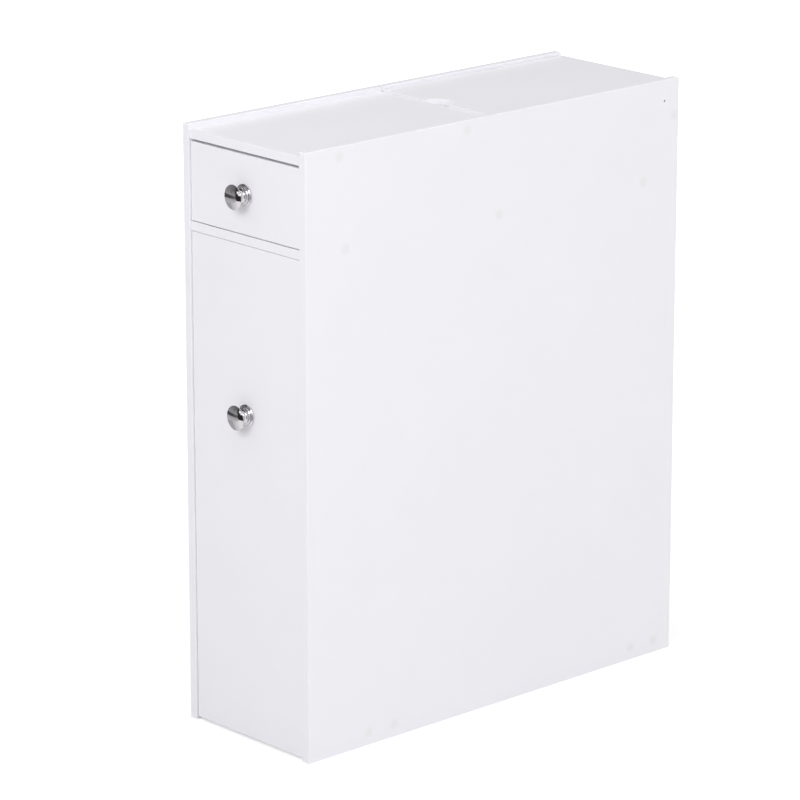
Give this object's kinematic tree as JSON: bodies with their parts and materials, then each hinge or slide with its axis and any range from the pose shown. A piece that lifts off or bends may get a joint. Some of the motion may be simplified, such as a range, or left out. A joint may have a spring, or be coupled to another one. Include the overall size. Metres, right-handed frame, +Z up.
{
  "type": "bathroom floor cabinet",
  "caption": "Slim upright floor cabinet with a drawer on top, a tall pull-out below it and a lift-up lid at the rear of the top, with round knobs.",
  "frame": {"origin": "centre of the bounding box's footprint, on the floor", "axes": "+Z up, +X to the right seen from the front, the front and its knobs face -Y"},
  "size_m": [0.172, 0.4966, 0.5842],
  "materials": {
    "white_board": "white laminate, satin",
    "hardboard": "white painted hardboard",
    "dowel_wood": "raw wood",
    "chrome": "polished",
    "steel": "zinc plated",
    "wheel_plastic": "matt",
    "cover_film": "matt film"
  },
  "bodies": {
    "carcass": {"back_panel": "hardboard", "divider": "white_board", "fixed_top": "white_board", "front_rail": "white_board", "left_runner": "white_board", "left_side_panel": "white_board", "lid_back_board": "white_board", "rear_rail": "white_board", "right_runner": "white_board", "right_side_panel": "white_board", "runner_screws": "steel", "screw_covers": "cover_film", "shelf": "white_board", "shelf_screws": "steel", "side_screws": "steel"},
    "lid": {"lid": "white_board", "lid_pins": "steel"},
    "drawer": {"drawer_back": "white_board", "drawer_bottom": "hardboard", "drawer_dowels": "dowel_wood", "drawer_front": "white_board", "drawer_knob": "chrome", "drawer_knob_screw": "steel", "drawer_left_side": "white_board", "drawer_right_side": "white_board", "drawer_screws": "steel"},
    "pull_out": {"batten_screws": "steel", "bracket_screws": "steel", "guard_screws": "steel", "left_axle": "steel", "left_wheel_bracket": "steel", "lower_left_guard": "white_board", "lower_right_guard": "white_board", "pull_out_back": "white_board", "pull_out_base": "white_board", "pull_out_dowels": "dowel_wood", "pull_out_front": "white_board", "pull_out_knob": "chrome", "pull_out_knob_screw": "steel", "pull_out_screws": "steel", "pull_out_shelf": "white_board", "right_axle": "steel", "right_wheel_bracket": "steel", "stop_batten": "white_board", "upper_left_guard": "white_board", "upper_right_guard": "white_board"},
    "left_wheel": {"left_wheel": "wheel_plastic"},
    "right_wheel": {"right_wheel": "wheel_plastic"}
  },
  "joints": [
    {"name": "lid_hinge", "type": "hinge", "parent": "carcass", "child": "lid", "pos_m": [0, 0.2438, 0.5764], "axis": [-1, 0, 0], "range_deg": [0, 95]},
    {"name": "drawer_slide", "type": "slide", "parent": "carcass", "child": "drawer", "axis": [0, -1, 0], "range_m": [0, 0.15]},
    {"name": "pull_out_slide", "type": "slide", "parent": "carcass", "child": "pull_out", "axis": [0, -1, 0], "range_m": [0, 0.275]},
    {"name": "left_wheel_spin", "type": "hinge", "parent": "pull_out", "child": "left_wheel", "pos_m": [-0.04802, -0.1983, 0.012], "axis": [1, 0, 0], "continuous": true},
    {"name": "right_wheel_spin", "type": "hinge", "parent": "pull_out", "child": "right_wheel", "pos_m": [0.04802, -0.1983, 0.012], "axis": [1, 0, 0], "continuous": true}
  ],
  "couplings": [
    {"joint": "left_wheel_spin", "follows": "pull_out_slide", "rad_per_m": 83.333},
    {"joint": "right_wheel_spin", "follows": "pull_out_slide", "rad_per_m": 83.333}
  ]
}
